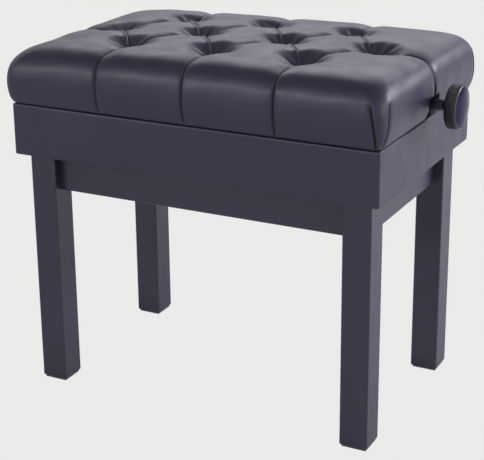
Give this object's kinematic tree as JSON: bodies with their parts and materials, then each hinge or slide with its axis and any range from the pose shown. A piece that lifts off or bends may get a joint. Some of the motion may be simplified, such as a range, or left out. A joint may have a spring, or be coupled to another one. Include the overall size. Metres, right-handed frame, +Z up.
{
  "type": "piano bench",
  "caption": "Height-adjustable piano bench: square black legs and rails, a tufted leather cushion over a leather skirt that slides on the legs, and ribbed side knobs on a scissor-lift screw.",
  "frame": {"origin": "on the floor under the middle of the bench, seat at its lowest", "axes": "+X along the bench's length to the right-hand knob, +Y from front to back, +Z up"},
  "size_m": [0.65, 0.361, 0.514],
  "materials": {
    "lacquer": "satin black lacquer",
    "leather": "smooth, semi-matt, charcoal black",
    "bare_wood": "unfinished",
    "zinc": "zinc plated",
    "black_steel": "satin black",
    "black_plastic": "ribbed, fine satin",
    "knob_face": "polished",
    "foam": "open cell foam",
    "felt": "pressed felt",
    "nylon": "self-lubricating"
  },
  "bodies": {
    "base": {"leg_front_left": "lacquer", "leg_front_right": "lacquer", "leg_back_left": "lacquer", "leg_back_right": "lacquer", "rail_front": "lacquer", "rail_back": "lacquer", "rail_left": "lacquer", "rail_right": "lacquer", "rail_dowels": "bare_wood", "corner_blocks": "bare_wood", "hanger_bolts": "zinc", "hanger_nuts": "zinc", "foot_pads": "felt", "batten_left": "bare_wood", "batten_right": "bare_wood", "lower_channel_front": "black_steel", "lower_channel_back": "black_steel", "lower_cross_bars": "black_steel", "lower_frame_bolts": "zinc", "lower_frame_nuts": "zinc", "lower_pivot_pins": "zinc"},
    "seat": {"seat_board": "bare_wood", "seat_frame_front": "bare_wood", "seat_frame_back": "bare_wood", "seat_frame_left": "bare_wood", "seat_frame_right": "bare_wood", "foam_top": "foam", "foam_front": "foam", "foam_back": "foam", "foam_left": "foam", "foam_right": "foam", "cushion_cover": "leather", "tuft_ties": "leather", "tuft_anchors": "black_plastic", "skirt_front": "bare_wood", "skirt_back": "bare_wood", "skirt_left": "bare_wood", "skirt_right": "bare_wood", "skirt_cover": "leather", "skirt_brackets": "zinc", "bracket_screws": "zinc", "upper_channel_front": "black_steel", "upper_channel_back": "black_steel", "upper_cross_angles": "black_steel", "channel_screws": "zinc", "upper_pivot_pins": "zinc", "shaft_bushes": "nylon"},
    "outer_arms": {"outer_arm_front": "black_steel", "outer_arm_back": "black_steel", "center_rivets": "zinc"},
    "inner_arms": {"inner_arm_front": "black_steel", "inner_arm_back": "black_steel", "lower_slide_rod": "zinc"},
    "nut": {"nut_bar": "zinc"},
    "screw": {"screw_shaft": "black_steel", "shaft_collars": "black_steel", "knob_left": "black_plastic", "knob_right": "black_plastic", "knob_cap_left": "knob_face", "knob_cap_right": "knob_face"}
  },
  "joints": [
    {"name": "seat_lift", "type": "slide", "parent": "base", "child": "seat", "axis": [0, 0, 1], "range_m": [0, 0.065]},
    {"name": "outer_arm_fold", "type": "hinge", "parent": "base", "child": "outer_arms", "pos_m": [-0.149, 0, 0.375], "axis": [0, -1, 0], "range_deg": [0, 12.95]},
    {"name": "inner_arm_fold", "type": "hinge", "parent": "seat", "child": "inner_arms", "pos_m": [-0.149, 0, 0.445], "axis": [0, 1, 0], "range_deg": [0, 12.95]},
    {"name": "nut_level", "type": "hinge", "parent": "outer_arms", "child": "nut", "pos_m": [0.149, 0, 0.445], "axis": [0, 1, 0], "range_deg": [0, 12.95]},
    {"name": "knob_turn", "type": "hinge", "parent": "seat", "child": "screw", "pos_m": [0, 0, 0.445], "axis": [1, 0, 0], "range_deg": [0, 2792.1]}
  ],
  "couplings": [
    {"joint": "outer_arm_fold", "follows": "seat_lift", "rad_per_m": 3.4771},
    {"joint": "inner_arm_fold", "follows": "seat_lift", "rad_per_m": 3.4771},
    {"joint": "nut_level", "follows": "seat_lift", "rad_per_m": 3.4771},
    {"joint": "knob_turn", "follows": "seat_lift", "rad_per_m": 749.7}
  ]
}
